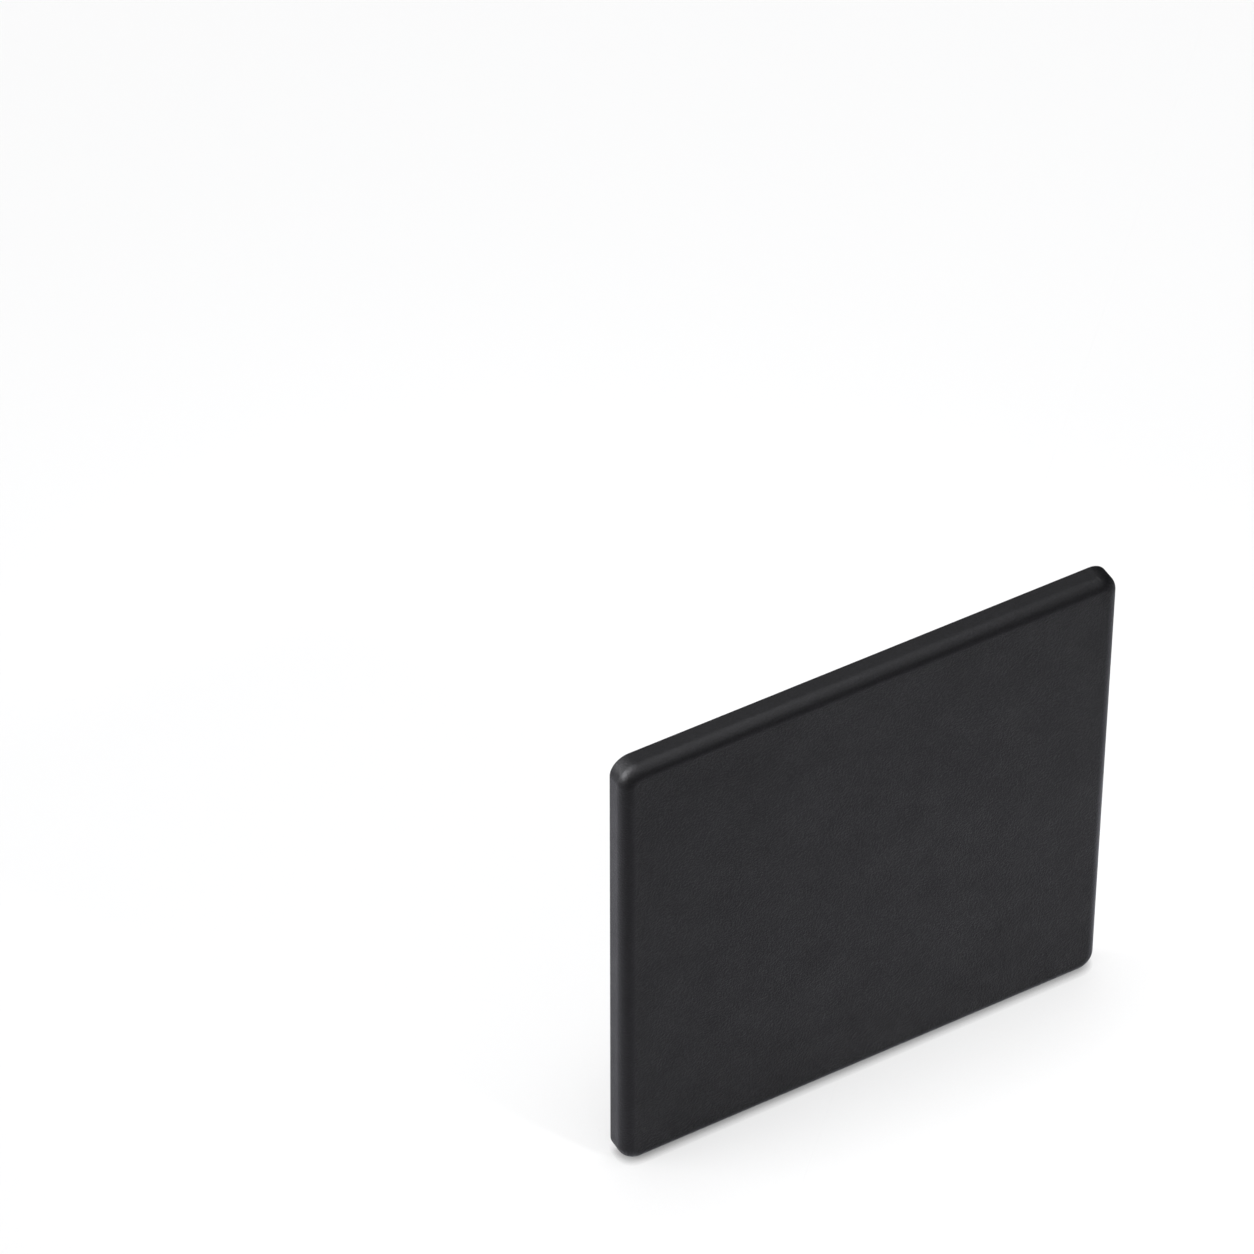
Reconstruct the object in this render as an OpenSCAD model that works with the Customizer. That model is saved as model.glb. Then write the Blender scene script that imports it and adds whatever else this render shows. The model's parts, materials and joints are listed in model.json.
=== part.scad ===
// Push-in end cap for a square aluminium profile with four core bores.
// One moulding: a rounded cover plate, cored out behind, with four ribbed pegs.
// Seat plane at y = 0, show face towards -Y, pegs towards +Y, +Z up, millimetres.

/* [Profile] */
// Outside width of the profile end that the cap covers
profile_w = 80; // [76:1:120]
// Outside height of the profile end that the cap covers
profile_h = 80; // [76:1:120]
// Distance between the profile's core bores across its width
bore_pitch_w = 40; // [34:1:46]
// Distance between the profile's core bores up its height
bore_pitch_h = 40; // [34:1:46]
// Diameter of each core bore
core_bore_d = 8.5; // [6.8:0.1:10.5]

/* [Cover plate] */
// Thickness of the plate from seat to show face
plate_t = 4; // [3:0.1:6]
// Radius of the plate's four corners
corner_r = 3; // [2.6:0.1:6]
// Radius of the rounding round the show face
edge_r = 1.9; // [0.6:0.1:2.4]
// Radius that breaks the sharp edge round the seat
seat_break_r = 0.2; // [0.1:0.05:0.4]

/* [Coring behind the plate] */
// Thickness of the skin left behind the show face
skin_t = 2; // [1.4:0.1:2.4]
// Width of the rim round the coring
rim_w = 2.4; // [1.8:0.1:4]
// Thickness of the stiffening webs
web_t = 1.6; // [1:0.1:2.4]
// Radius in the corners of each pocket
pocket_r = 0.8; // [0.3:0.1:1.2]
// Wall of the round boss that carries each peg
boss_wall = 2; // [1:0.1:3]

/* [Pegs] */
// Length of each peg from the seat to its tip
peg_l = 12; // [9:0.5:20]
// Radial gap between the round core of a peg and its bore
peg_gap = 0.25; // [0.1:0.05:0.4]
// Length of the tapered lead-in
lead_in_l = 2.2; // [1:0.1:4]
// Diameter at the small end of the lead-in
lead_in_d = 6.4; // [4:0.1:6.6]
// Chamfer round the tip
tip_chamfer = 0.5; // [0.2:0.1:1]

/* [Crush ribs] */
// Number of crush ribs round each peg
crush_ribs = 6; // [3:1:6]
// Radius of the round back of each rib
crush_rib_r = 0.45; // [0.42:0.01:0.5]
// How far each rib stands past the wall of the bore, and is crushed
crush_bite = 0.1; // [0.05:0.01:0.15]
// Length over which a rib runs out towards the tip
rib_run_out_l = 1.6; // [0.8:0.1:3]

/* [Hidden] */
$fn = 64;
// The pockets' small corners need fewer facets than the rest
pocket_fn = 32;

// Overshoot of each cutter past the face that it opens
cut_over = 1;
// Depth of the coring, from the seat to the skin
pocket_depth = plate_t - skin_t;
peg_r = core_bore_d / 2 - peg_gap;
boss_r = peg_r + boss_wall;
// The webs run through the pegs and midway between them
web_places_w = [-bore_pitch_w / 2, 0, bore_pitch_w / 2];
web_places_h = [-bore_pitch_h / 2, 0, bore_pitch_h / 2];
// The rim keeps its width round the corners, down to the pockets' own radius
coring_corner_r = max(corner_r - rim_w, pocket_r);
// Each crush rib's axis, so that its back stands crush_bite past the bore
crush_rib_axis_r = core_bore_d / 2 + crush_bite - crush_rib_r;
// The shank is the parallel stretch of a peg, below its lead-in
shank_l = peg_l - lead_in_l;

// A rectangle with round corners, centred
module rounded_rectangle(w, h, r) {
    square([w - 2 * r, h], center = true);
    square([w, h - 2 * r], center = true);
    for (x = [-1, 1], y = [-1, 1])
        translate([x * (w / 2 - r), y * (h / 2 - r)])
            circle(r);
}

// Section of what an edge rounding takes away. x runs out from a corner's axis, y from the
// inside of the plate towards the face that the rounding meets at y = 0.
module rounding_waste(r) {
    difference() {
        translate([corner_r - r, -r])
            square(r + cut_over);
        translate([corner_r - r, -r])
            circle(r);
    }
}

// The rounding's waste, carried round the whole outline of the plate
module outline_rounding(r) {
    straight_w = profile_w - 2 * corner_r;
    straight_h = profile_h - 2 * corner_r;
    for (x = [0, 1], y = [0, 1])
        mirror([x, 0, 0])
            mirror([0, y, 0])
                translate([straight_w / 2, straight_h / 2, 0])
                    rotate_extrude(angle = 90)
                        rounding_waste(r);
    for (side = [0, 180])
        rotate(side) {
            translate([straight_w / 2, straight_h / 2, 0])
                rotate([90, 0, 0])
                    linear_extrude(straight_h)
                        rounding_waste(r);
            translate([-straight_w / 2, straight_h / 2, 0])
                rotate([90, 0, 90])
                    linear_extrude(straight_w)
                        rounding_waste(r);
        }
}

// The plate before coring: seat at z = 0, show face at z = -plate_t
module plate_blank() {
    difference() {
        translate([0, 0, -plate_t])
            linear_extrude(plate_t)
                rounded_rectangle(profile_w, profile_h, corner_r);
        outline_rounding(seat_break_r);
        translate([0, 0, -plate_t])
            mirror([0, 0, 1])
                outline_rounding(edge_r);
    }
}

// Places its children on the four core bores
module at_bores() {
    for (x = [-1, 1], y = [-1, 1])
        translate([x * bore_pitch_w / 2, y * bore_pitch_h / 2, 0])
            children();
}

// Outline of the pockets between the rim, the webs and the bosses
module coring_outline() {
    offset(r = pocket_r, $fn = pocket_fn)
        offset(delta = -pocket_r)
            difference() {
                rounded_rectangle(profile_w - 2 * rim_w, profile_h - 2 * rim_w, coring_corner_r);
                for (x = web_places_w)
                    translate([x, 0])
                        square([web_t, profile_h], center = true);
                for (y = web_places_h)
                    translate([0, y])
                        square([profile_w, web_t], center = true);
                at_bores()
                    circle(boss_r, $fn = pocket_fn);
            }
}

module coring() {
    translate([0, 0, -pocket_depth])
        linear_extrude(pocket_depth + cut_over)
            coring_outline();
}

// One crush rib: a half-round back that runs out to nothing below the lead-in
module crush_rib() {
    full_l = shank_l - rib_run_out_l;
    translate([crush_rib_axis_r, 0, -pocket_depth])
        cylinder(h = pocket_depth + full_l, r = crush_rib_r);
    translate([crush_rib_axis_r, 0, full_l])
        cylinder(h = rib_run_out_l, r1 = crush_rib_r, r2 = 0);
}

// One peg, rooted in its boss
module peg() {
    lead_in_r = lead_in_d / 2;
    translate([0, 0, -pocket_depth])
        cylinder(h = pocket_depth + shank_l, r = peg_r);
    translate([0, 0, shank_l])
        cylinder(h = lead_in_l - tip_chamfer, r1 = peg_r, r2 = lead_in_r);
    translate([0, 0, peg_l - tip_chamfer])
        cylinder(h = tip_chamfer, r1 = lead_in_r, r2 = lead_in_r - tip_chamfer);
    for (i = [0 : crush_ribs - 1])
        rotate(i * 360 / crush_ribs)
            crush_rib();
}

module end_cap() {
    color([0.19, 0.19, 0.2])
        rotate([-90, 0, 0]) {
            difference() {
                plate_blank();
                coring();
            }
            at_bores()
                peg();
        }
}

end_cap();
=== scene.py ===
import json
import logging
import math
from collections.abc import Callable
from dataclasses import dataclass
from enum import Enum

import bpy
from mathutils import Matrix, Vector

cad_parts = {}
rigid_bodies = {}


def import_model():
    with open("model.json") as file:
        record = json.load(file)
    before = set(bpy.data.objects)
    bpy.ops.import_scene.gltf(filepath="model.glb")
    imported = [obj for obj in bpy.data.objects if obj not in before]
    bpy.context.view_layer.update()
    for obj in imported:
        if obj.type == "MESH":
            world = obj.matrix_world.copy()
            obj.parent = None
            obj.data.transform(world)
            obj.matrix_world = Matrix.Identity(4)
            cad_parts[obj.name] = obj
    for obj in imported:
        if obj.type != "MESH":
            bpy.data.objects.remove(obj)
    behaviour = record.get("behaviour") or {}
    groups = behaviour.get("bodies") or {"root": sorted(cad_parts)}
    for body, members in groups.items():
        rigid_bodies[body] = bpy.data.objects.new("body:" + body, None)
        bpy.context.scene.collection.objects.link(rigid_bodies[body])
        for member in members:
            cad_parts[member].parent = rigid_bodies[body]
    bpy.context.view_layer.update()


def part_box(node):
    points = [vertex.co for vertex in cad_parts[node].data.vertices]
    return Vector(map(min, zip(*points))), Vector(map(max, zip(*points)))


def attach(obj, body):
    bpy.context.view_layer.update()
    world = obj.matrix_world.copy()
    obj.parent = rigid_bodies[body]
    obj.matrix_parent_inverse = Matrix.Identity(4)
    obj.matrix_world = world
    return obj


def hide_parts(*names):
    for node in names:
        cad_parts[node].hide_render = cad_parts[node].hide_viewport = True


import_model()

log = logging.getLogger("end_cap")

MM = 0.001
BODY = "root"
NODE = "end_cap"
QUARTER_TURN = math.pi / 2
# Faces that meet at less than this are shaded as one surface
SMOOTH_ANGLE = math.radians(34)
# The colour of all the light in the studio
COOL_WHITE = (0.957, 0.957, 1.0)
# Two vertices closer than this are one
MERGE_DISTANCE = 0.0005 * MM
# A point this close to a level lies on it
NEAR = 0.001 * MM
# Two directions whose dot product is more than this are the same
SAME_WAY = 0.999

Test = Callable[[Vector], bool]


class Round(Enum):
    """The two ways a quarter-round joins a pocket's wall to a level surface."""

    MOUTH = "from the seat over into the wall"
    FLOOR = "from the wall into the floor"


# ---------------------------------------------------------------- helpers


def activate(piece: bpy.types.Object) -> None:
    """Makes a piece the only selected and the active object.

    Args:
        piece: The object that the next operators act on.
    """
    for other in bpy.context.view_layer.objects:
        other.select_set(False)
    piece.select_set(True)
    bpy.context.view_layer.objects.active = piece


def apply_transform(piece: bpy.types.Object) -> None:
    """Puts a piece's place, turn and scale into its mesh.

    Args:
        piece: The object to apply.
    """
    activate(piece)
    bpy.ops.object.transform_apply(location=True, rotation=True, scale=True)


def apply_modifier(piece: bpy.types.Object, kind: str, **settings: object) -> None:
    """Adds a modifier with its settings and applies it.

    Args:
        piece: The object that is changed.
        kind: Blender's name for the modifier.
        settings: Values for the modifier's own properties.
    """
    activate(piece)
    modifier = piece.modifiers.new(kind.title(), kind)
    for name, value in settings.items():
        setattr(modifier, name, value)
    bpy.ops.object.modifier_apply(modifier=modifier.name)


def edit(piece: bpy.types.Object, mode: str) -> None:
    """Opens a piece in edit mode with the selection that its mesh holds.

    Args:
        piece: The object to edit.
        mode: What is selected: VERT, EDGE or FACE.
    """
    activate(piece)
    kinds = ("VERT", "EDGE", "FACE")
    bpy.context.tool_settings.mesh_select_mode = [mode == kind for kind in kinds]
    bpy.ops.object.mode_set(mode="EDIT")


def leave_edit() -> None:
    """Goes back to object mode."""
    bpy.ops.object.mode_set(mode="OBJECT")


def clear_selection(piece: bpy.types.Object) -> None:
    """Deselects all of a piece's mesh.

    Args:
        piece: The object whose mesh is deselected.
    """
    for part in (piece.data.vertices, piece.data.edges, piece.data.polygons):
        part.foreach_set("select", [False] * len(part))


def select_edges(piece: bpy.types.Object, test: Test) -> None:
    """Selects the edges whose two ends both pass a test, and nothing else.

    Args:
        piece: The object whose mesh is searched.
        test: Says of a point whether it counts.
    """
    clear_selection(piece)
    mesh = piece.data
    for edge in mesh.edges:
        ends = [mesh.vertices[i] for i in edge.vertices]
        if all(test(end.co) for end in ends):
            edge.select = True
            for end in ends:
                end.select = True


def select_faces(piece: bpy.types.Object, test: Test, facing: Vector) -> None:
    """Selects the faces that look one way and whose centre passes a test.

    Args:
        piece: The object whose mesh is searched.
        test: Says of a face's centre whether it counts.
        facing: The direction that the face's normal has.
    """
    clear_selection(piece)
    mesh = piece.data
    for face in mesh.polygons:
        if face.normal.dot(facing) > SAME_WAY and test(face.center):
            face.select = True
            for i in face.vertices:
                mesh.vertices[i].select = True
    for edge in mesh.edges:
        edge.select = all(mesh.vertices[i].select for i in edge.vertices)


def copy_of(piece: bpy.types.Object, name: str, shift: Vector) -> bpy.types.Object:
    """Copies a piece with a mesh of its own.

    Args:
        piece: The object to copy.
        name: The copy's name.
        shift: How far the copy's mesh is moved.

    Returns:
        The copy, its object at the origin.
    """
    copy = piece.copy()
    copy.data = piece.data.copy()
    copy.name = name
    bpy.context.scene.collection.objects.link(copy)
    for vertex in copy.data.vertices:
        vertex.co += shift
    return copy


def join(pieces: list[bpy.types.Object], name: str) -> bpy.types.Object:
    """Joins pieces into the first of them.

    Args:
        pieces: The objects to join.
        name: The joined object's name.

    Returns:
        The joined object.
    """
    activate(pieces[0])
    for piece in pieces[1:]:
        piece.select_set(True)
    bpy.ops.object.join()
    pieces[0].name = name
    return pieces[0]


def arc(centre: tuple[float, float], radius: float, start: float, end: float, steps: int) -> list:
    """Points along an arc in the plane of the plate.

    Args:
        centre: The arc's centre, across and up.
        radius: The arc's radius.
        start: The angle of the first point.
        end: The angle of the last point.
        steps: How many chords the arc has.

    Returns:
        The points, across and up, with both ends.
    """
    angles = [start + (end - start) * i / steps for i in range(steps + 1)]
    return [
        (centre[0] + radius * math.cos(a), centre[1] + radius * math.sin(a)) for a in angles
    ]


def flat_outline(points: list, level: float, name: str) -> bpy.types.Object:
    """A flat face that looks along +Y, from an outline.

    Args:
        points: The outline, across and up, in order.
        level: The face's place along Y.
        name: The object's name.

    Returns:
        The object, with one face.
    """
    bpy.ops.mesh.primitive_circle_add(vertices=len(points), fill_type="NGON")
    piece = bpy.context.object
    piece.name = name
    for vertex, (across, up) in zip(piece.data.vertices, points):
        vertex.co = (across, level, up)
    piece.data.update()
    if piece.data.polygons[0].normal.y < 0:
        piece.data.flip_normals()
    return piece


# ------------------------------------------------------------- the moulding


@dataclass
class CoverPlate:
    """The square cover plate: rounded show face, seat behind, and the pockets that core it."""

    # The corners of the CAD node's box, and the seat's level along Y
    low: Vector
    high: Vector
    seat: float = 0.0
    corner_radius: float = 3.0 * MM
    edge_radius: float = 1.9 * MM
    seat_break_radius: float = 0.2 * MM
    # What the pockets leave standing: the skin behind the show face, rim, webs and bosses
    skin: float = 2.0 * MM
    rim: float = 2.4 * MM
    web: float = 1.6 * MM
    pocket_radius: float = 0.8 * MM
    boss_radius: float = 6.0 * MM
    pitch: float = 40.0 * MM
    # The small rounds and the draft that let a pocket leave its mould
    mouth_radius: float = 0.15 * MM
    floor_radius: float = 0.4 * MM
    draft: float = math.radians(1)
    # How many chords stand for each round
    corner_steps: int = 16
    edge_steps: int = 14
    break_steps: int = 4
    pocket_steps: int = 8
    boss_steps: int = 16
    round_steps: int = 4

    def bevel_loop(self, plate: bpy.types.Object, test: Test, radius: float, steps: int) -> None:
        """Rounds the edges that pass a test.

        Args:
            plate: The plate's object.
            test: Says of an edge's ends whether they count.
            radius: The rounding's radius.
            steps: The rounding's chords.
        """
        select_edges(plate, test)
        edit(plate, "EDGE")
        bpy.ops.mesh.bevel(offset=radius, segments=steps, profile=0.5, affect="EDGES")
        leave_edit()

    def shell(self) -> bpy.types.Object:
        """The plate's outside, open over the whole seat.

        Returns:
            The shell's object.
        """
        size = self.high - self.low
        thickness = self.seat - self.low.y
        bpy.ops.mesh.primitive_cube_add(
            size=1,
            location=(0, self.low.y + thickness / 2, 0),
            scale=(size.x, thickness, size.z),
        )
        plate = bpy.context.object
        apply_transform(plate)
        clear_selection(plate)
        for edge in plate.data.edges:
            a, b = (plate.data.vertices[i].co for i in edge.vertices)
            edge.select = abs(a.y - b.y) > thickness / 2
        edit(plate, "EDGE")
        bpy.ops.mesh.bevel(
            offset=self.corner_radius, segments=self.corner_steps, profile=0.5, affect="EDGES"
        )
        leave_edit()
        self.bevel_loop(
            plate, lambda p: abs(p.y - self.low.y) < NEAR, self.edge_radius, self.edge_steps
        )
        self.bevel_loop(
            plate, lambda p: abs(p.y - self.seat) < NEAR, self.seat_break_radius, self.break_steps
        )
        select_faces(plate, lambda p: abs(p.y - self.seat) < NEAR, Vector((0, 1, 0)))
        edit(plate, "FACE")
        bpy.ops.mesh.delete(type="ONLY_FACE")
        leave_edit()
        return plate

    def pocket_outline(self, near: float, far: float, near_up: float, far_up: float) -> list:
        """The mouth of one pocket beside a peg that stands at the origin, in the first quarter.

        The side next to each web is near, and the far sides lie along the next web or the rim.
        The boss bites the corner at the origin.

        Args:
            near: The near side, across.
            far: The far side, across.
            near_up: The near side, up.
            far_up: The far side, up.

        Returns:
            The outline's points, across and up, in order.
        """
        grow = self.mouth_radius
        r = self.pocket_radius + grow
        left, right, low, high = near - grow, far + grow, near_up - grow, far_up + grow
        bite = self.boss_radius - grow
        # where the small rounds that ease the boss into the webs have their centres
        up_high = math.sqrt((bite + r) ** 2 - (left + r) ** 2)
        across_low = math.sqrt((bite + r) ** 2 - (low + r) ** 2)
        turn_high = math.atan2(up_high, left + r)
        turn_low = math.atan2(low + r, across_low)
        n = self.pocket_steps
        return [
            *arc((across_low, low + r), r, turn_low + math.pi, 1.5 * math.pi, n),
            *arc((right - r, low + r), r, -QUARTER_TURN, 0, n),
            *arc((right - r, high - r), r, 0, QUARTER_TURN, n),
            *arc((left + r, high - r), r, QUARTER_TURN, math.pi, n),
            *arc((left + r, up_high), r, math.pi, turn_high + math.pi, n),
            *arc((0, 0), bite, turn_high, turn_low, self.boss_steps)[1:-1],
        ]

    def sink(self, radius: float, kind: Round) -> None:
        """Insets the selected face step by step round a quarter-round.

        Args:
            radius: The quarter-round's radius.
            kind: Which way it curves.
        """
        done = (0.0, 0.0)
        for i in range(1, self.round_steps + 1):
            turn = QUARTER_TURN * i / self.round_steps
            level, steep = radius * math.sin(turn), radius * (1 - math.cos(turn))
            inward, down = (level, steep) if kind is Round.MOUTH else (steep, level)
            bpy.ops.mesh.inset(
                thickness=inward - done[0], depth=done[1] - down, use_boundary=True
            )
            done = (inward, down)

    def pocket(self, outline: list, name: str) -> bpy.types.Object:
        """One pocket's inside, open at the seat.

        Args:
            outline: The pocket's mouth, across and up.
            name: The object's name.

        Returns:
            The pocket's object.
        """
        piece = flat_outline(outline, self.seat, name)
        depth = self.seat - self.low.y - self.skin
        wall = depth - self.mouth_radius - self.floor_radius
        edit(piece, "FACE")
        bpy.ops.mesh.select_all(action="SELECT")
        self.sink(self.mouth_radius, Round.MOUTH)
        bpy.ops.mesh.inset(thickness=wall * math.tan(self.draft), depth=-wall, use_boundary=True)
        self.sink(self.floor_radius, Round.FLOOR)
        leave_edit()
        return piece

    def pockets(self) -> list[bpy.types.Object]:
        """All the pockets: four round each peg, against the webs and the rim.

        Returns:
            The pockets' objects.
        """
        half_web = self.web / 2
        half_pitch = self.pitch / 2
        inner = half_pitch - half_web
        outer_x = self.high.x - self.rim - half_pitch
        outer_z = self.high.z - self.rim - half_pitch
        made = []
        for side_x in (-1, 1):
            for side_z in (-1, 1):
                for far_x, out_x in ((inner, -1), (outer_x, 1)):
                    for far_z, out_z in ((inner, -1), (outer_z, 1)):
                        mouth = self.pocket_outline(half_web, far_x, half_web, far_z)
                        placed = [
                            (side_x * (half_pitch + out_x * x), side_z * (half_pitch + out_z * z))
                            for x, z in mouth
                        ]
                        made.append(self.pocket(placed, f"pocket_{len(made)}"))
        return made


@dataclass
class Peg:
    """One press-in peg: round shank, tapered lead-in and crush ribs."""

    length: float
    seat: float = 0.0
    shank_radius: float = 4.0 * MM
    lead_in: float = 2.2 * MM
    lead_in_radius: float = 3.2 * MM
    tip_chamfer: float = 0.5 * MM
    tip_soften: float = 0.18 * MM
    tip_steps: int = 3
    rib_count: int = 6
    rib_radius: float = 0.45 * MM
    rib_axis_radius: float = 3.9 * MM
    rib_run_out: float = 1.6 * MM
    # A rib's tip, as a share of its full size
    rib_end_share: float = 0.02
    shank_sides: int = 96
    rib_sides: int = 28

    def post(self, radius: float, length: float, sides: int, across: float) -> bpy.types.Object:
        """A plain round post that stands on the seat.

        Args:
            radius: The post's radius.
            length: Its length along +Y.
            sides: How many sides stand for the round.
            across: Its distance from the peg's own axis.

        Returns:
            The post's object.
        """
        bpy.ops.mesh.primitive_cylinder_add(
            vertices=sides,
            radius=radius,
            depth=length,
            location=(across, self.seat + length / 2, 0),
            rotation=(-QUARTER_TURN, 0, 0),
        )
        post = bpy.context.object
        apply_transform(post)
        return post

    def grow_end(self, post: bpy.types.Object, end: float, along: float, shrink: float) -> None:
        """Extrudes a post's end face and shrinks it, for a taper.

        Args:
            post: The post's object.
            end: The end face's place along Y.
            along: How far the face moves.
            shrink: The face's new size, as a share of its old one.
        """
        select_faces(post, lambda p: abs(p.y - end) < NEAR, Vector((0, 1, 0)))
        centre = Vector((0, 0, 0))
        for face in post.data.polygons:
            if face.select:
                centre = face.center.copy()
        edit(post, "FACE")
        bpy.ops.mesh.extrude_region_move(TRANSFORM_OT_translate={"value": (0, along, 0)})
        bpy.ops.transform.resize(
            value=(shrink, 1, shrink), center_override=(centre.x, end + along, centre.z)
        )
        leave_edit()

    def crush_rib(self, shank: float) -> bpy.types.Object:
        """A half-round rib that runs out to a point under the shank's skin.

        Args:
            shank: The shank's length.

        Returns:
            The rib's object.
        """
        full = shank - self.rib_run_out
        rib = self.post(self.rib_radius, full, self.rib_sides, self.rib_axis_radius)
        self.grow_end(rib, self.seat + full, self.rib_run_out, self.rib_end_share)
        return rib

    def ring_of_ribs(self, shank: float) -> bpy.types.Object:
        """All the crush ribs as one object.

        Args:
            shank: The shank's length.

        Returns:
            The ribs' object.
        """
        first = self.crush_rib(shank)
        ribs = [first]
        for i in range(1, self.rib_count):
            rib = copy_of(first, f"crush_rib_{i}", Vector((0, 0, 0)))
            rib.rotation_euler = (0, math.tau * i / self.rib_count, 0)
            apply_transform(rib)
            ribs.append(rib)
        return join(ribs, "crush_ribs")

    def build(self) -> bpy.types.Object:
        """The peg, on the axis of the frame and open at the seat.

        Returns:
            The peg's object.
        """
        shank = self.length - self.lead_in
        peg = self.post(self.shank_radius, shank, self.shank_sides, 0)
        taper = self.lead_in - self.tip_chamfer
        self.grow_end(peg, self.seat + shank, taper, self.lead_in_radius / self.shank_radius)
        tip_radius = self.lead_in_radius - self.tip_chamfer
        self.grow_end(
            peg, self.seat + shank + taper, self.tip_chamfer, tip_radius / self.lead_in_radius
        )
        select_edges(peg, lambda p: p.y > self.seat + shank + taper / 2)
        for edge in peg.data.edges:
            a, b = (peg.data.vertices[i].co for i in edge.vertices)
            edge.select = edge.select and abs(a.y - b.y) < self.tip_chamfer / 2
        edit(peg, "EDGE")
        bpy.ops.mesh.bevel(
            offset=self.tip_soften, segments=self.tip_steps, profile=0.5, affect="EDGES"
        )
        leave_edit()
        ribs = self.ring_of_ribs(shank)
        apply_modifier(peg, "BOOLEAN", operation="UNION", solver="EXACT", object=ribs)
        bpy.data.objects.remove(ribs)
        select_faces(peg, lambda p: abs(p.y - self.seat) < NEAR, Vector((0, -1, 0)))
        edit(peg, "FACE")
        bpy.ops.mesh.delete(type="FACE")
        leave_edit()
        return peg


@dataclass
class Moulding:
    """The whole end cap as one closed skin: plate, pockets and pegs."""

    plate: CoverPlate
    peg: Peg
    name: str = "end_cap_moulding"

    def pegs(self) -> list[bpy.types.Object]:
        """The four pegs at the corners of their square.

        Returns:
            The pegs' objects.
        """
        half = self.plate.pitch / 2
        first = self.peg.build()
        places = [Vector((x * half, 0, z * half)) for x in (-1, 1) for z in (-1, 1)]
        made = [copy_of(first, f"peg_{i}", place) for i, place in enumerate(places)]
        bpy.data.objects.remove(first)
        return made

    def close_seat(self, piece: bpy.types.Object) -> None:
        """Fills the seat between the outline, the pocket mouths and the pegs.

        Args:
            piece: The joined object, open at the seat.
        """
        edit(piece, "EDGE")
        bpy.ops.mesh.select_all(action="SELECT")
        bpy.ops.mesh.remove_doubles(threshold=MERGE_DISTANCE)
        bpy.ops.mesh.select_all(action="DESELECT")
        bpy.ops.mesh.select_non_manifold(
            extend=False,
            use_wire=False,
            use_boundary=True,
            use_multi_face=False,
            use_non_contiguous=False,
            use_verts=False,
        )
        bpy.ops.mesh.fill(use_beauty=True)
        bpy.ops.mesh.select_all(action="SELECT")
        bpy.ops.mesh.normals_make_consistent(inside=False)
        leave_edit()

    def build(self) -> bpy.types.Object:
        """Models the moulding.

        Returns:
            The finished object, at the origin.
        """
        parts = [self.plate.shell(), *self.plate.pockets(), *self.pegs()]
        piece = join(parts, self.name)
        self.close_seat(piece)
        activate(piece)
        bpy.ops.object.shade_smooth_by_angle(angle=SMOOTH_ANGLE)
        apply_modifier(piece, "WEIGHTED_NORMAL", keep_sharp=True, weight=100)
        return piece


# ------------------------------------------------------------- the finish


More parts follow.
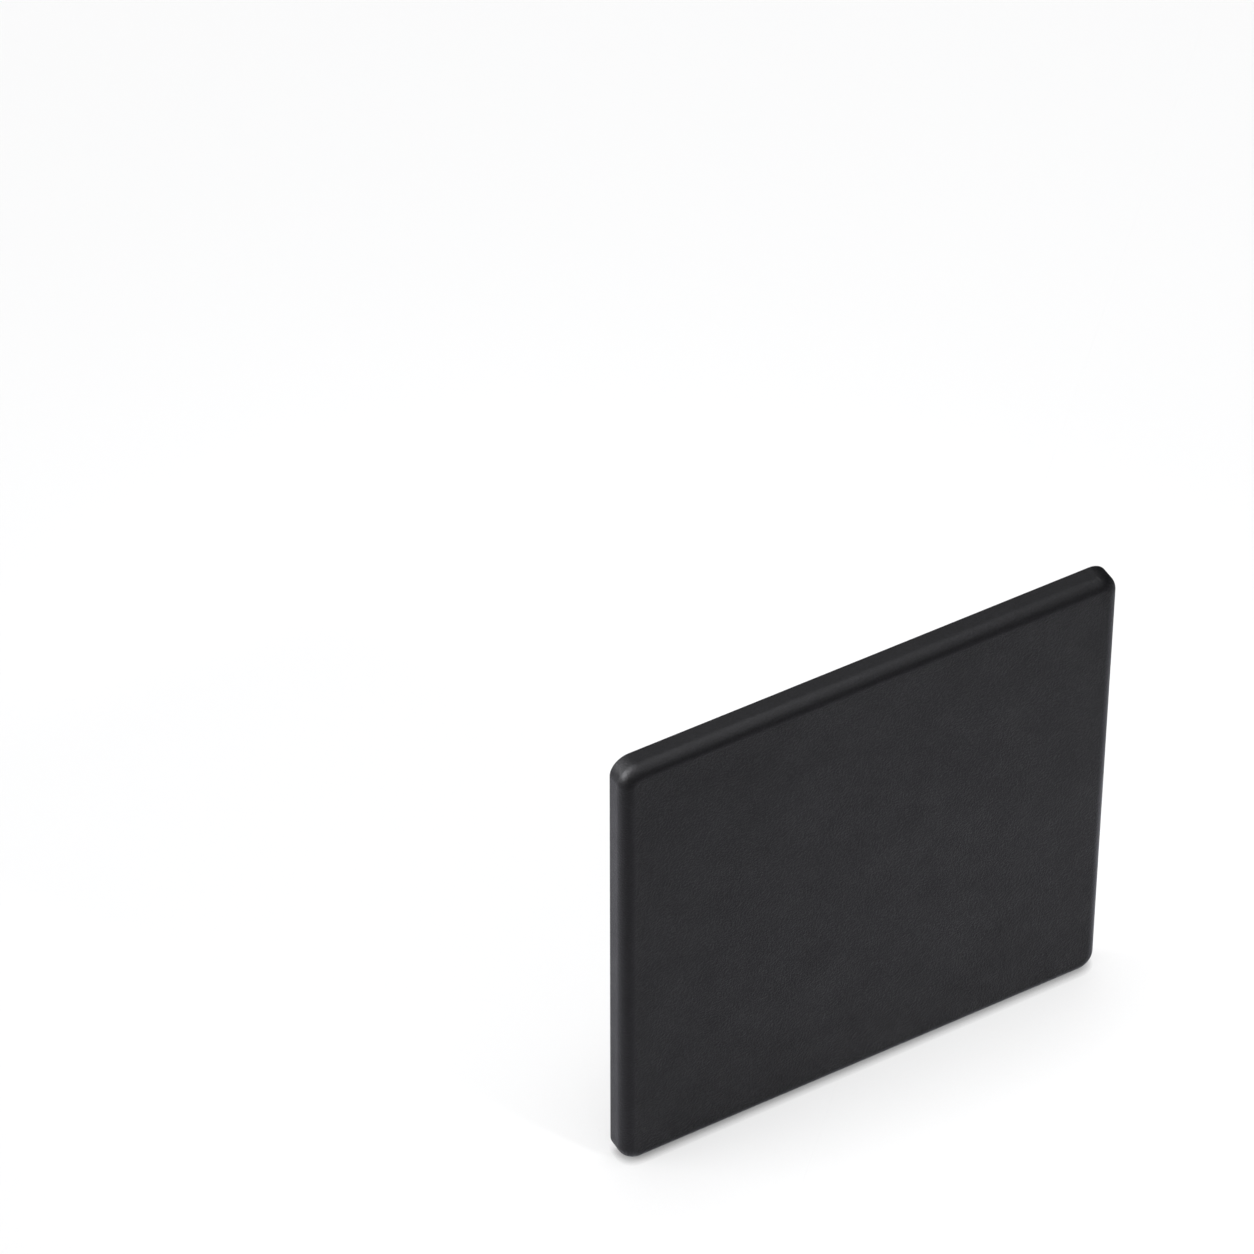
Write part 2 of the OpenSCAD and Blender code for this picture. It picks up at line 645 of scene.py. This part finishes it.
class Wiring:
    """Lays out shader nodes in one node tree."""

    # The colours among the sockets of a Mix node, which share their names with its other kinds
    MIX_FIRST = 6
    MIX_SECOND = 7
    MIX_RESULT = 2

    def __init__(self, tree: bpy.types.NodeTree) -> None:
        """Takes hold of a tree.

        Args:
            tree: The node tree that is wired.
        """
        self.tree = tree

    def plug(self, socket: bpy.types.NodeSocket, value: object) -> None:
        """Links a socket, or sets its own value.

        Args:
            socket: The input socket.
            value: A socket to link from, or a plain value.
        """
        if isinstance(value, bpy.types.NodeSocket):
            self.tree.links.new(value, socket)
        else:
            socket.default_value = value

    def node(self, kind: str, **inputs: object) -> bpy.types.Node:
        """Adds a node and fills its inputs.

        Args:
            kind: The node's type.
            inputs: Values or sockets by the input's name, with _ for a space.

        Returns:
            The node.
        """
        made = self.tree.nodes.new(kind)
        for name, value in inputs.items():
            self.plug(made.inputs[name.replace("_", " ")], value)
        return made

    def maths(self, operation: str, *values: object) -> bpy.types.NodeSocket:
        """Adds a Math node.

        Args:
            operation: What it does.
            values: Its numbers or sockets, in order.

        Returns:
            Its result.
        """
        made = self.tree.nodes.new("ShaderNodeMath")
        made.operation = operation
        for socket, value in zip(made.inputs, values):
            self.plug(socket, value)
        return made.outputs[0]

    def spread(
        self, value: object, low: object, high: object, start: float = 0.0, end: float = 1.0
    ) -> bpy.types.NodeSocket:
        """Maps one range onto another and stops at its ends.

        Args:
            value: What is mapped.
            low: The result at the start.
            high: The result at the end.
            start: The value that gives low.
            end: The value that gives high.

        Returns:
            The mapped value.
        """
        made = self.node(
            "ShaderNodeMapRange", Value=value, From_Min=start, From_Max=end, To_Min=low, To_Max=high
        )
        return made.outputs["Result"]

    def eased(self, value: object, start: float, end: float) -> bpy.types.NodeSocket:
        """Goes from 0 to 1 between two values, gently at both ends.

        Args:
            value: What is mapped.
            start: The value that gives 0.
            end: The value that gives 1.

        Returns:
            The mapped value.
        """
        made = self.node("ShaderNodeMapRange", Value=value, From_Min=start, From_Max=end)
        made.interpolation_type = "SMOOTHSTEP"
        return made.outputs["Result"]

    def turned(self, place: object, turn: tuple) -> bpy.types.NodeSocket:
        """Turns a pattern.

        Args:
            place: The coordinates that are turned.
            turn: The turn about X, Y and Z.

        Returns:
            The pattern's coordinates.
        """
        made = self.node("ShaderNodeMapping", Vector=place)
        made.vector_type = "TEXTURE"
        self.plug(made.inputs["Rotation"], turn)
        return made.outputs["Vector"]

    def noise(
        self, place: object, pitch: float, detail: float, rough: float = 0.5
    ) -> bpy.types.NodeSocket:
        """Adds a noise.

        Args:
            place: The coordinates it reads, in metres.
            pitch: The size of its lumps.
            detail: How many finer octaves it has.
            rough: How strong each finer octave is.

        Returns:
            Its value, from 0 to 1 about one half.
        """
        made = self.node(
            "ShaderNodeTexNoise", Vector=place, Scale=1 / pitch, Detail=detail, Roughness=rough
        )
        return made.outputs["Fac"]

    def cells(self, place: object, pitch: float) -> tuple:
        """Adds a pattern of small, evenly spread pits.

        Args:
            place: The coordinates it reads, in metres.
            pitch: The distance between pits.

        Returns:
            How far it is to the nearest pit's centre, in pitches, and a number from 0 to 1 that
            is each pit's own.
        """
        made = self.node("ShaderNodeTexVoronoi", Vector=place, Scale=1 / pitch)
        split = self.node("ShaderNodeSeparateXYZ", Vector=made.outputs["Color"])
        return made.outputs["Distance"], split.outputs["X"]

    def scaled(self, colour: object, factor: object) -> bpy.types.NodeSocket:
        """Makes a colour lighter or darker.

        Args:
            colour: The colour.
            factor: What it is multiplied by.

        Returns:
            The scaled colour.
        """
        made = self.tree.nodes.new("ShaderNodeVectorMath")
        made.operation = "SCALE"
        self.plug(made.inputs["Vector"], colour)
        self.plug(made.inputs["Scale"], factor)
        return made.outputs["Vector"]

    def length(self, vector: object) -> bpy.types.NodeSocket:
        """Measures a vector.

        Args:
            vector: The vector.

        Returns:
            Its length.
        """
        made = self.tree.nodes.new("ShaderNodeVectorMath")
        made.operation = "LENGTH"
        self.plug(made.inputs["Vector"], vector)
        return made.outputs["Value"]

    def mix_colour(self, share: object, first: object, second: object) -> bpy.types.NodeSocket:
        """Mixes two colours.

        Args:
            share: How much of the second there is.
            first: The first colour.
            second: The second colour.

        Returns:
            The mixed colour.
        """
        made = self.tree.nodes.new("ShaderNodeMix")
        made.data_type = "RGBA"
        self.plug(made.inputs["Factor"], share)
        self.plug(made.inputs[self.MIX_FIRST], first)
        self.plug(made.inputs[self.MIX_SECOND], second)
        return made.outputs[self.MIX_RESULT]


@dataclass(frozen=True)
class MouldedNylon:
    """Black moulded nylon: a grained show face, and smoother rounded edges and back."""

    # The flat show face, and all the rest
    face_colour: tuple = (0.00252, 0.00255, 0.00246, 1)
    edge_colour: tuple = (0.0009, 0.0009, 0.0010, 1)
    face_roughness: float = 0.56
    edge_roughness: float = 0.48
    specular: float = 0.056
    # The grain: pits all over, each a little darker or lighter than the next
    grain_pitch: float = 0.29 * MM
    grain_turn: tuple = (0.35, math.radians(-37), 0.15)
    grain_depth: float = 0.043 * MM
    grain_tint: float = 0.8
    grain_low: float = 0.30
    grain_high: float = 0.64
    pit_tint: float = 0.35
    pit_swing: float = 0.01
    # How much of the grain's relief is left away from the show face
    edge_relief: float = 0.56
    # A finer relief between the pits
    fine_turn: tuple = (0.7, 0.4, 0.9)
    fine_pitch: float = 0.16 * MM
    fine_octaves: float = 1.0
    fine_depth: float = 0.027 * MM
    # A faint, slow unevenness of colour and gloss
    mottle_pitch: float = 6.0 * MM
    mottle_octaves: float = 3.0
    mottle_fineness: float = 0.6
    mottle_tint: float = 0.32
    mottle_swing: float = 0.065
    # The width over which the show face's finish gives way to the edge's
    zone_soft: float = 0.15 * MM

    def face_zone(
        self, wiring: Wiring, place: bpy.types.NodeSocket, plate: CoverPlate
    ) -> bpy.types.NodeSocket:
        """Says where the flat, grained show face is.

        Args:
            wiring: The material's wiring.
            place: The coordinates it reads, in metres.
            plate: The plate whose face it is.

        Returns:
            1 on the flat face and 0 elsewhere.
        """
        split = wiring.node("ShaderNodeSeparateXYZ", Vector=place)
        radius = plate.corner_radius - plate.edge_radius
        squares = []
        for axis, half in (("X", plate.high.x), ("Z", plate.high.z)):
            reach = wiring.maths("ABSOLUTE", split.outputs[axis])
            beyond = wiring.maths("SUBTRACT", reach, half - plate.corner_radius)
            past = wiring.maths("MAXIMUM", beyond, 0.0)
            squares.append(wiring.maths("MULTIPLY", past, past))
        distance = wiring.maths("SQRT", wiring.maths("ADD", *squares))
        soft = self.zone_soft / 2
        inside = wiring.eased(distance, radius + soft, radius - soft)
        in_front = wiring.maths("LESS_THAN", split.outputs["Y"], plate.low.y + plate.edge_radius)
        return wiring.maths("MULTIPLY", inside, in_front)

    def colour(
        self,
        wiring: Wiring,
        zone: bpy.types.NodeSocket,
        grain: bpy.types.NodeSocket,
        own: bpy.types.NodeSocket,
        mottle: bpy.types.NodeSocket,
    ) -> bpy.types.NodeSocket:
        """Colours the moulding, darker in the pits and unevenly from patch to patch.

        Args:
            wiring: The material's wiring.
            zone: 1 on the flat face and 0 elsewhere.
            grain: The distance to the nearest pit's centre.
            own: Each pit's own number.
            mottle: The slow unevenness.

        Returns:
            The base colour.
        """
        flat = wiring.mix_colour(zone, self.edge_colour, self.face_colour)
        light_grain = wiring.spread(
            grain, 1 - self.grain_tint, 1 + self.grain_tint, self.grain_low, self.grain_high
        )
        light_pit = wiring.spread(own, 1 - self.pit_tint, 1 + self.pit_tint)
        light_mottle = wiring.spread(mottle, 1 - self.mottle_tint, 1 + self.mottle_tint)
        shade = wiring.maths(
            "MULTIPLY", wiring.maths("MULTIPLY", light_grain, light_pit), light_mottle
        )
        return wiring.scaled(flat, shade)

    def roughness(
        self,
        wiring: Wiring,
        zone: bpy.types.NodeSocket,
        own: bpy.types.NodeSocket,
        mottle: bpy.types.NodeSocket,
    ) -> bpy.types.NodeSocket:
        """Makes the show face rougher than the rest, and the lighter patches and pits smoother.

        Args:
            wiring: The material's wiring.
            zone: 1 on the flat face and 0 elsewhere.
            own: Each pit's own number.
            mottle: The slow unevenness.

        Returns:
            The roughness.
        """
        smooth = wiring.spread(zone, self.edge_roughness, self.face_roughness)
        swing = wiring.maths(
            "ADD",
            wiring.spread(mottle, self.mottle_swing, -self.mottle_swing),
            wiring.spread(own, self.pit_swing, -self.pit_swing),
        )
        return wiring.maths("ADD", smooth, swing)

    def relief(
        self,
        wiring: Wiring,
        zone: bpy.types.NodeSocket,
        grain: bpy.types.NodeSocket,
        fine: bpy.types.NodeSocket,
    ) -> bpy.types.NodeSocket:
        """Lays the pits over a finer relief, shallower away from the show face.

        Args:
            wiring: The material's wiring.
            zone: 1 on the flat face and 0 elsewhere.
            grain: The distance to the nearest pit's centre.
            fine: The fine noise.

        Returns:
            The normal.
        """
        fine_height = wiring.maths("MULTIPLY", fine, self.fine_depth)
        fine_bump = wiring.node("ShaderNodeBump", Strength=1.0, Distance=1.0, Height=fine_height)
        height = wiring.maths("MULTIPLY", grain, self.grain_depth)
        share = wiring.spread(zone, self.edge_relief, 1)
        bump = wiring.node("ShaderNodeBump", Strength=share, Distance=1.0, Height=height)
        wiring.plug(bump.inputs["Normal"], fine_bump.outputs["Normal"])
        return bump.outputs["Normal"]

    def material(self, plate: CoverPlate) -> bpy.types.Material:
        """Builds the material.

        Args:
            plate: The plate that the grained face lies on.

        Returns:
            The material.
        """
        material = bpy.data.materials.new("moulded_nylon")
        material.use_nodes = True
        wiring = Wiring(material.node_tree)
        shader = material.node_tree.nodes["Principled BSDF"]
        place = wiring.node("ShaderNodeTexCoord").outputs["Object"]
        zone = self.face_zone(wiring, place, plate)
        grain, own = wiring.cells(wiring.turned(place, self.grain_turn), self.grain_pitch)
        fine_place = wiring.turned(place, self.fine_turn)
        fine = wiring.noise(fine_place, self.fine_pitch, self.fine_octaves)
        mottle = wiring.noise(
            place, self.mottle_pitch, self.mottle_octaves, self.mottle_fineness
        )
        colour = self.colour(wiring, zone, grain, own, mottle)
        wiring.plug(shader.inputs["Base Color"], colour)
        wiring.plug(shader.inputs["Roughness"], self.roughness(wiring, zone, own, mottle))
        wiring.plug(shader.inputs["Normal"], self.relief(wiring, zone, grain, fine))
        shader.inputs["Specular IOR Level"].default_value = self.specular
        return material


# ------------------------------------------------------------- the studio


class Lights(Enum):
    """What a lamp's light shows on."""

    ALL = (True, True)
    MATT = (True, False)
    GLOSS = (False, True)


def hang_light(light: bpy.types.Light, place: Vector, back: Vector, lights: Lights) -> None:
    """Adds a light to the scene, out of the camera's own sight.

    Args:
        light: The light.
        place: Where it hangs.
        back: The direction from what it lights to the light.
        lights: What its light shows on.
    """
    light.color = COOL_WHITE
    holder = bpy.data.objects.new(light.name, light)
    holder.location = place
    holder.rotation_euler = back.to_track_quat("Z", "Y").to_euler()
    holder.visible_camera = False
    holder.visible_diffuse, holder.visible_glossy = lights.value
    bpy.context.scene.collection.objects.link(holder)


@dataclass(frozen=True)
class Lamp:
    """One wide, soft lamp, as far off as the sun. Its width is in degrees."""

    name: str
    towards: tuple
    strength: float
    width: float
    lights: Lights = Lights.ALL

    def hang(self) -> None:
        """Adds the lamp to the scene."""
        light = bpy.data.lights.new(self.name, "SUN")
        light.energy = self.strength
        light.angle = math.radians(self.width)
        hang_light(light, Vector((0, 0, 0)), Vector(self.towards), self.lights)


@dataclass(frozen=True)
class Panel:
    """A round, evenly lit panel near the cap."""

    name: str
    place: tuple
    aim: tuple
    radius: float
    brightness: float
    lights: Lights = Lights.ALL

    def hang(self) -> None:
        """Adds the panel to the scene."""
        light = bpy.data.lights.new(self.name, "AREA")
        light.shape = "DISK"
        light.size = 2 * self.radius
        light.energy = self.brightness * math.pi * math.pi * self.radius**2
        hang_light(light, Vector(self.place), Vector(self.place) - Vector(self.aim), self.lights)


@dataclass(frozen=True)
class Spot:
    """A soft-edged spot that fills the shadow in front and fades out up the show face.

    Its cone is in degrees.
    """

    name: str
    place: tuple
    aim: tuple
    power: float
    cone: float
    radius: float
    lights: Lights = Lights.ALL

    def hang(self) -> None:
        """Adds the spot to the scene."""
        light = bpy.data.lights.new(self.name, "SPOT")
        light.energy = self.power
        light.spot_size = math.radians(self.cone)
        light.spot_blend = 1.0
        light.shadow_soft_size = self.radius
        hang_light(light, Vector(self.place), Vector(self.place) - Vector(self.aim), self.lights)


@dataclass(frozen=True)
class PaintedShade:
    """A dark patch of painted shade in part of the floor's colour, for all but the camera.

    Its shade begins at the first place across and along, is full at the second, and stays so.
    """

    across: tuple
    along: tuple
    depth: float

    def light(self, wiring: Wiring, split: bpy.types.Node) -> bpy.types.NodeSocket:
        """Says how light the floor's colour stays under the patch of painted shade.

        Args:
            wiring: The floor's wiring.
            split: A node with the X and Y of the floor.

        Returns:
            1 away from the patch, and less under its painted shade.
        """
        width = wiring.spread(split.outputs["X"], 0, self.depth, *self.across)
        share = wiring.spread(split.outputs["Y"], 0, 1, *self.along)
        return wiring.maths("SUBTRACT", 1, wiring.maths("MULTIPLY", width, share))


@dataclass(frozen=True)
class Viewpoint:
    """Where the camera stands, what it aims at, and its lens."""

    azimuth: float = math.radians(-29.5)
    elevation: float = math.radians(44.59)
    distance: float = 1.0024
    target: tuple = (-0.03944, -0.004, 0.06873)
    sensor_width: float = 36.0
    focal_length: float = 215.74

    def place_camera(self) -> None:
        """Adds the camera and makes it the scene's own."""
        level = math.cos(self.elevation)
        back = Vector(
            (
                math.sin(self.azimuth) * level,
                -math.cos(self.azimuth) * level,
                math.sin(self.elevation),
            )
        )
        lens = bpy.data.cameras.new("camera")
        lens.sensor_width = self.sensor_width
        lens.lens = self.focal_length
        holder = bpy.data.objects.new("camera", lens)
        holder.location = Vector(self.target) + back * self.distance
        holder.rotation_euler = back.to_track_quat("Z", "Y").to_euler()
        bpy.context.scene.collection.objects.link(holder)
        bpy.context.scene.camera = holder


@dataclass
class Studio:
    """A floor with painted shadow and painted shade, and the light.

    The floor is plain white to the camera but for a painted shadow by the cap, and it has
    patches of painted shade for all other rays.
    """

    floor_level: float
    floor_size: float = 12.0
    # The floor that lights the cap
    floor_colour: tuple = (0.89, 0.89, 0.925, 1)
    # The floor that the camera sees: a matt part, and a glow that is all there is far off
    floor_seen: tuple = (0.387, 0.387, 0.375, 1)
    floor_glow: float = 0.99
    glow_share: float = 0.74
    glow_reach: tuple = (0.18, 0.60)
    # Painted shadow in the floor's glow: the shade under the cap's edge and the wider one beside it
    contact_reach: float = 1.35 * MM
    contact_shade: float = 0.88
    near_reach: float = 24.0 * MM
    near_shade: float = 0.31
    contact_samples: int = 4
    # The room's light, which fades between these places towards the right
    world_light: float = 0.82
    world_dark: float = 0.08
    world_turn: tuple = (0.25, 0.85)
    # Painted shade: dark patches in the floor's colour, for all but the camera, that the cap
    # reflects
    painted_shades: tuple = (
        PaintedShade(across=(50 * MM, 85 * MM), along=(0, 50 * MM), depth=0.9),
        PaintedShade(across=(-30 * MM, -70 * MM), along=(0, -30 * MM), depth=0.35),
        PaintedShade(across=(-80 * MM, -45 * MM), along=(65 * MM, 10 * MM), depth=0.14),
    )
    lights_hung: tuple = (
        Lamp("key_lamp", towards=(-0.83, 0.31, 0.46), strength=7.2, width=40, lights=Lights.MATT),
        Lamp(
            "glint_lamp",
            towards=(-0.871, 0.128, 0.473),
            strength=39.0,
            width=40,
            lights=Lights.GLOSS,
        ),
        Lamp(
            "high_glint_lamp",
            towards=(-0.374, 0.105, 0.922),
            strength=14.0,
            width=36,
            lights=Lights.GLOSS,
        ),
        Lamp("front_lamp", towards=(0.35, -0.74, 0.58), strength=0.5, width=60),
        Lamp("back_lamp", towards=(0.35, 0.62, 0.71), strength=0.55, width=50),
        Panel(
            "top_panel",
            place=(0.020, 0.0045, 0.275),
            aim=(-0.035, -0.003, 0.04),
            radius=0.10,
            brightness=11.5,
        ),
        Panel(
            "brow_panel",
            place=(0.010, -0.150, 0.215),
            aim=(-0.025, -0.003, 0.04),
            radius=0.11,
            brightness=9.0,
            lights=Lights.GLOSS,
        ),
        Spot(
            "side_spot",
            place=(0.25, -0.45, 0.30),
            aim=(0.025, -0.015, -0.035),
            power=36,
            cone=17,
            radius=0.05,
            lights=Lights.MATT,
        ),
    )

    def painted_sky_shadow(self, wiring: Wiring, reach: float, depth: float) -> bpy.types.NodeSocket:
        """Paints shadow into the floor's glow where the cap hides some of the sky.

        Args:
            wiring: The floor's wiring.
            reach: How far off the cap still counts.
            depth: How much darker the painted shadow makes the floor where all of the sky is
                hidden.

        Returns:
            1 where nothing is near, and less beside the cap.
        """
        sky = wiring.node("ShaderNodeAmbientOcclusion", Distance=reach)
        sky.samples = self.contact_samples
        return wiring.spread(sky.outputs["AO"], 1 - depth, 1)

    def floor_with_painted_shade(self, wiring: Wiring, place: bpy.types.NodeSocket) -> bpy.types.NodeSocket:
        """Paints shade into the floor's colour under the patches, which the cap reflects.

        Args:
            wiring: The floor's wiring.
            place: The coordinates it reads, in metres.

        Returns:
            The colour of the floor for all but the camera.
        """
        split = wiring.node("ShaderNodeSeparateXYZ", Vector=place)
        colour = self.floor_colour[:3]
        # painted shade: each patch darkens the floor's colour, not the light on it
        for painted_patch in self.painted_shades:
            colour = wiring.scaled(colour, painted_patch.light(wiring, split))
        return colour

    def floor_glow_seen(self, wiring: Wiring) -> bpy.types.NodeSocket:
        """The floor's even glow, with painted shadow beside and under the cap.

        Args:
            wiring: The floor's wiring.

        Returns:
            The glow's shader.
        """
        contact = self.painted_sky_shadow(wiring, self.contact_reach, self.contact_shade)
        near = self.painted_sky_shadow(wiring, self.near_reach, self.near_shade)
        # painted shadow: the glow is darkened where the cap hides the sky
        shade = wiring.maths("MULTIPLY", contact, near)
        strength = wiring.maths("MULTIPLY", shade, self.floor_glow)
        return wiring.node("ShaderNodeEmission", Strength=strength).outputs["Emission"]

    def floor_material(self) -> bpy.types.Material:
        """Builds the floor's material.

        The camera sees part glow, with a painted shadow under and beside the cap, and part matt
        white, which keeps the cap's shadow. All other rays meet a matt white with three patches
        of painted shade.

        Returns:
            The material.
        """
        material = bpy.data.materials.new("white_floor")
        material.use_nodes = True
        tree = material.node_tree
        tree.nodes.remove(tree.nodes["Principled BSDF"])
        wiring = Wiring(tree)
        seen = wiring.node("ShaderNodeLightPath").outputs["Is Camera Ray"]
        place = wiring.node("ShaderNodeTexCoord").outputs["Object"]
        white = wiring.mix_colour(seen, self.floor_with_painted_shade(wiring, place), self.floor_seen)
        matt = wiring.node("ShaderNodeBsdfDiffuse", Color=white).outputs["BSDF"]
        far = wiring.length(place)
        glow_share = wiring.spread(far, self.glow_share, 1, *self.glow_reach)
        mix = wiring.node("ShaderNodeMixShader", Fac=wiring.maths("MULTIPLY", seen, glow_share))
        for socket, shader in zip(mix.inputs[1:], (matt, self.floor_glow_seen(wiring))):
            wiring.plug(socket, shader)
        wiring.plug(tree.nodes["Material Output"].inputs["Surface"], mix.outputs["Shader"])
        return material

    def floor(self) -> None:
        """Lays the floor that the cap stands on."""
        bpy.ops.mesh.primitive_plane_add(size=self.floor_size, location=(0, 0, self.floor_level))
        floor = bpy.context.object
        floor.name = "floor"
        apply_transform(floor)
        floor.data.materials.append(self.floor_material())

    def lights(self) -> None:
        """Hangs the lamps and sets the light of the room."""
        for light in self.lights_hung:
            light.hang()
        world = bpy.data.worlds.new("room")
        world.use_nodes = True
        bpy.context.scene.world = world
        wiring = Wiring(world.node_tree)
        ray = wiring.node("ShaderNodeTexCoord").outputs["Generated"]
        across = wiring.node("ShaderNodeSeparateXYZ", Vector=ray).outputs["X"]
        turned_right = wiring.eased(across, *self.world_turn)
        level = wiring.spread(turned_right, self.world_light, self.world_dark)
        seen = wiring.node("ShaderNodeLightPath").outputs["Is Camera Ray"]
        room = world.node_tree.nodes["Background"]
        wiring.plug(room.inputs["Strength"], wiring.spread(seen, level, self.floor_glow))
        wiring.plug(room.inputs["Color"], wiring.mix_colour(seen, (*COOL_WHITE, 1), (1, 1, 1, 1)))


def main() -> None:
    """Builds the cap and the studio, and reports each piece."""
    logging.basicConfig(level=logging.INFO, format="%(name)s: %(message)s")
    low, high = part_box(NODE)
    plate = CoverPlate(low=low, high=high)
    moulding = Moulding(plate=plate, peg=Peg(length=high.y))
    piece = moulding.build()
    piece.data.materials.clear()
    piece.data.materials.append(MouldedNylon().material(plate))
    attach(piece, BODY)
    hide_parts(NODE)
    log.info("%s: %d faces", piece.name, len(piece.data.polygons))
    studio = Studio(floor_level=low.z)
    studio.floor()
    studio.lights()
    Viewpoint().place_camera()
    bpy.context.scene.view_settings.view_transform = "Standard"


if __name__ == "__main__":
    main()
